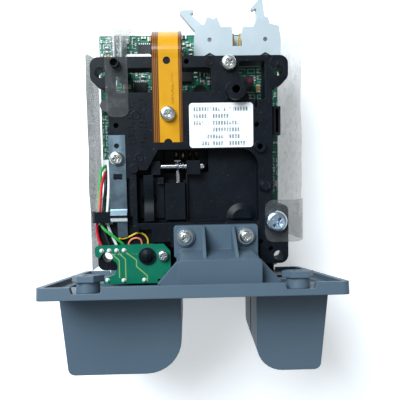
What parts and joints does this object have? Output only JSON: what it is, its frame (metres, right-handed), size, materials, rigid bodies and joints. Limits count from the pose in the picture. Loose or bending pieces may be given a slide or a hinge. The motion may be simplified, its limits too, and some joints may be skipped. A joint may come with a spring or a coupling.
{
  "type": "card reader",
  "caption": "Hand-fed chip and stripe card reader: a twin-lobed bezel with finger notch on a black chassis over a green circuit board.",
  "frame": {"origin": "middle of the card plane where the card passes the flange, on the centre line of the flange", "axes": "+X across the slot, +Y into the machine along the card, +Z normal to the card, away from the circuit board"},
  "size_m": [0.098, 0.1365, 0.0706],
  "materials": {
    "bezel": "fine grained moulded plastic, dark slate grey",
    "upper_chassis": "black glass-filled moulding, satin",
    "lower_chassis": "black glass-filled moulding, satin",
    "cable_hook": "black moulding, satin",
    "screw_zinc": "bright zinc plated, cross recess",
    "spring_steel": "rolled strip",
    "steel": "ground and polished",
    "chrome_head": "polished head face",
    "label": "white printed label",
    "board": "green solder mask",
    "chip_black": "moulded package",
    "can_metal": "drawn can",
    "chip_tan": "fired chip bodies with tinned ends",
    "socket_white": "moulded nylon",
    "socket_cream": "moulded nylon",
    "header_grey": "light grey moulding",
    "gold": "gold plated contacts",
    "flex_amber": "polyimide over copper",
    "clear_film": "clear polyester sheet",
    "rivet_black": "push rivet",
    "solder": "reflowed solder",
    "led_clear": "clear epoxy lens",
    "wire_red": "insulation",
    "wire_black": "insulation",
    "wire_green": "insulation",
    "wire_white": "insulation",
    "wire_yellow": "insulation",
    "wire_orange": "insulation",
    "mechanism_black": "black moulding",
    "coil_copper": "enamelled winding under tape",
    "roller_rubber": "ground rubber"
  },
  "bodies": {
    "unit": {"bezel": "bezel", "left_lobe": "bezel", "right_lobe": "bezel", "panel_bosses": "bezel", "bezel_screws": "screw_zinc", "bezel_washers": "screw_zinc", "upper_chassis": "upper_chassis", "lower_chassis": "lower_chassis", "cable_hook": "cable_hook", "chassis_screws": "screw_zinc", "rear_screw": "screw_zinc", "flex_screw": "screw_zinc", "leaf_screw": "screw_zinc", "earth_screw": "screw_zinc", "side_leaf": "spring_steel", "label": "label", "main_board": "board", "main_board_screws": "screw_zinc", "processor_chip": "chip_black", "driver_chips": "chip_black", "can_capacitors": "can_metal", "crystal_can": "can_metal", "small_components": "chip_tan", "edge_socket": "chip_black", "power_socket": "socket_white", "harness_socket": "socket_white", "flex_socket": "socket_cream", "header_housing": "header_grey", "header_pins": "gold", "latch_pins": "steel", "head_flex": "flex_amber", "insulation_film": "clear_film", "lead_board": "board", "lead_board_screw": "screw_zinc", "lead_board_rivet": "rivet_black", "solder_joints": "solder", "indicator_leds": "led_clear", "wire_red": "wire_red", "wire_black": "wire_black", "wire_green": "wire_green", "wire_white": "wire_white", "wire_yellow": "wire_yellow", "wire_orange": "wire_orange", "head_spring": "spring_steel", "solenoid_frame": "mechanism_black", "solenoid_coil": "coil_copper", "lock_shaft": "steel", "shaft_ring": "spring_steel", "roller_axle": "steel", "carriage_springs": "steel", "card_sensors": "chip_black"},
    "left_latch": {"left_latch": "header_grey"},
    "right_latch": {"right_latch": "header_grey"},
    "read_head": {"head_holder": "mechanism_black", "magnetic_head": "chrome_head"},
    "plunger": {"solenoid_plunger": "steel"},
    "lever": {"lock_lever": "spring_steel"},
    "roller": {"pressure_roller": "roller_rubber"},
    "carriage": {"contact_carriage": "mechanism_black", "contact_springs": "gold"}
  },
  "joints": [
    {"name": "left_latch_pivot", "type": "hinge", "parent": "unit", "child": "left_latch", "pos_m": [0.0079, 0.09, -0.0075], "axis": [0, 0, 1], "range_deg": [-48, 4]},
    {"name": "right_latch_pivot", "type": "hinge", "parent": "unit", "child": "right_latch", "pos_m": [0.029, 0.09, -0.0075], "axis": [0, 0, 1], "range_deg": [-50, 0]},
    {"name": "head_float", "type": "slide", "parent": "unit", "child": "read_head", "axis": [0, 0, 1], "range_m": [0, 0.0006], "stiffness_N_per_m": 800, "springref_m": -0.001, "deforming": ["head_spring"]},
    {"name": "roller_spin", "type": "hinge", "parent": "unit", "child": "roller", "pos_m": [-0.0146, 0.0305, -0.0043], "axis": [1, 0, 0], "continuous": true},
    {"name": "carriage_slide", "type": "slide", "parent": "unit", "child": "carriage", "axis": [0, 1, 0], "range_m": [0, 0.0045], "stiffness_N_per_m": 80, "springref_m": -0.01, "deforming": ["carriage_springs"]},
    {"name": "lever_pivot", "type": "hinge", "parent": "unit", "child": "lever", "pos_m": [-0.005, 0.0426, 0.005], "axis": [-1, 0, 0], "range_deg": [0, 27], "stiffness_Nm_per_rad": 0.000002, "springref_deg": -28.65},
    {"name": "plunger_slide", "type": "slide", "parent": "unit", "child": "plunger", "axis": [0, -1, 0], "range_m": [0, 0.0015], "stiffness_N_per_m": 1, "springref_m": -0.002}
  ],
  "couplings": [
    {"joint": "lever_pivot", "follows": "plunger_slide", "rad_per_m": 314}
  ]
}
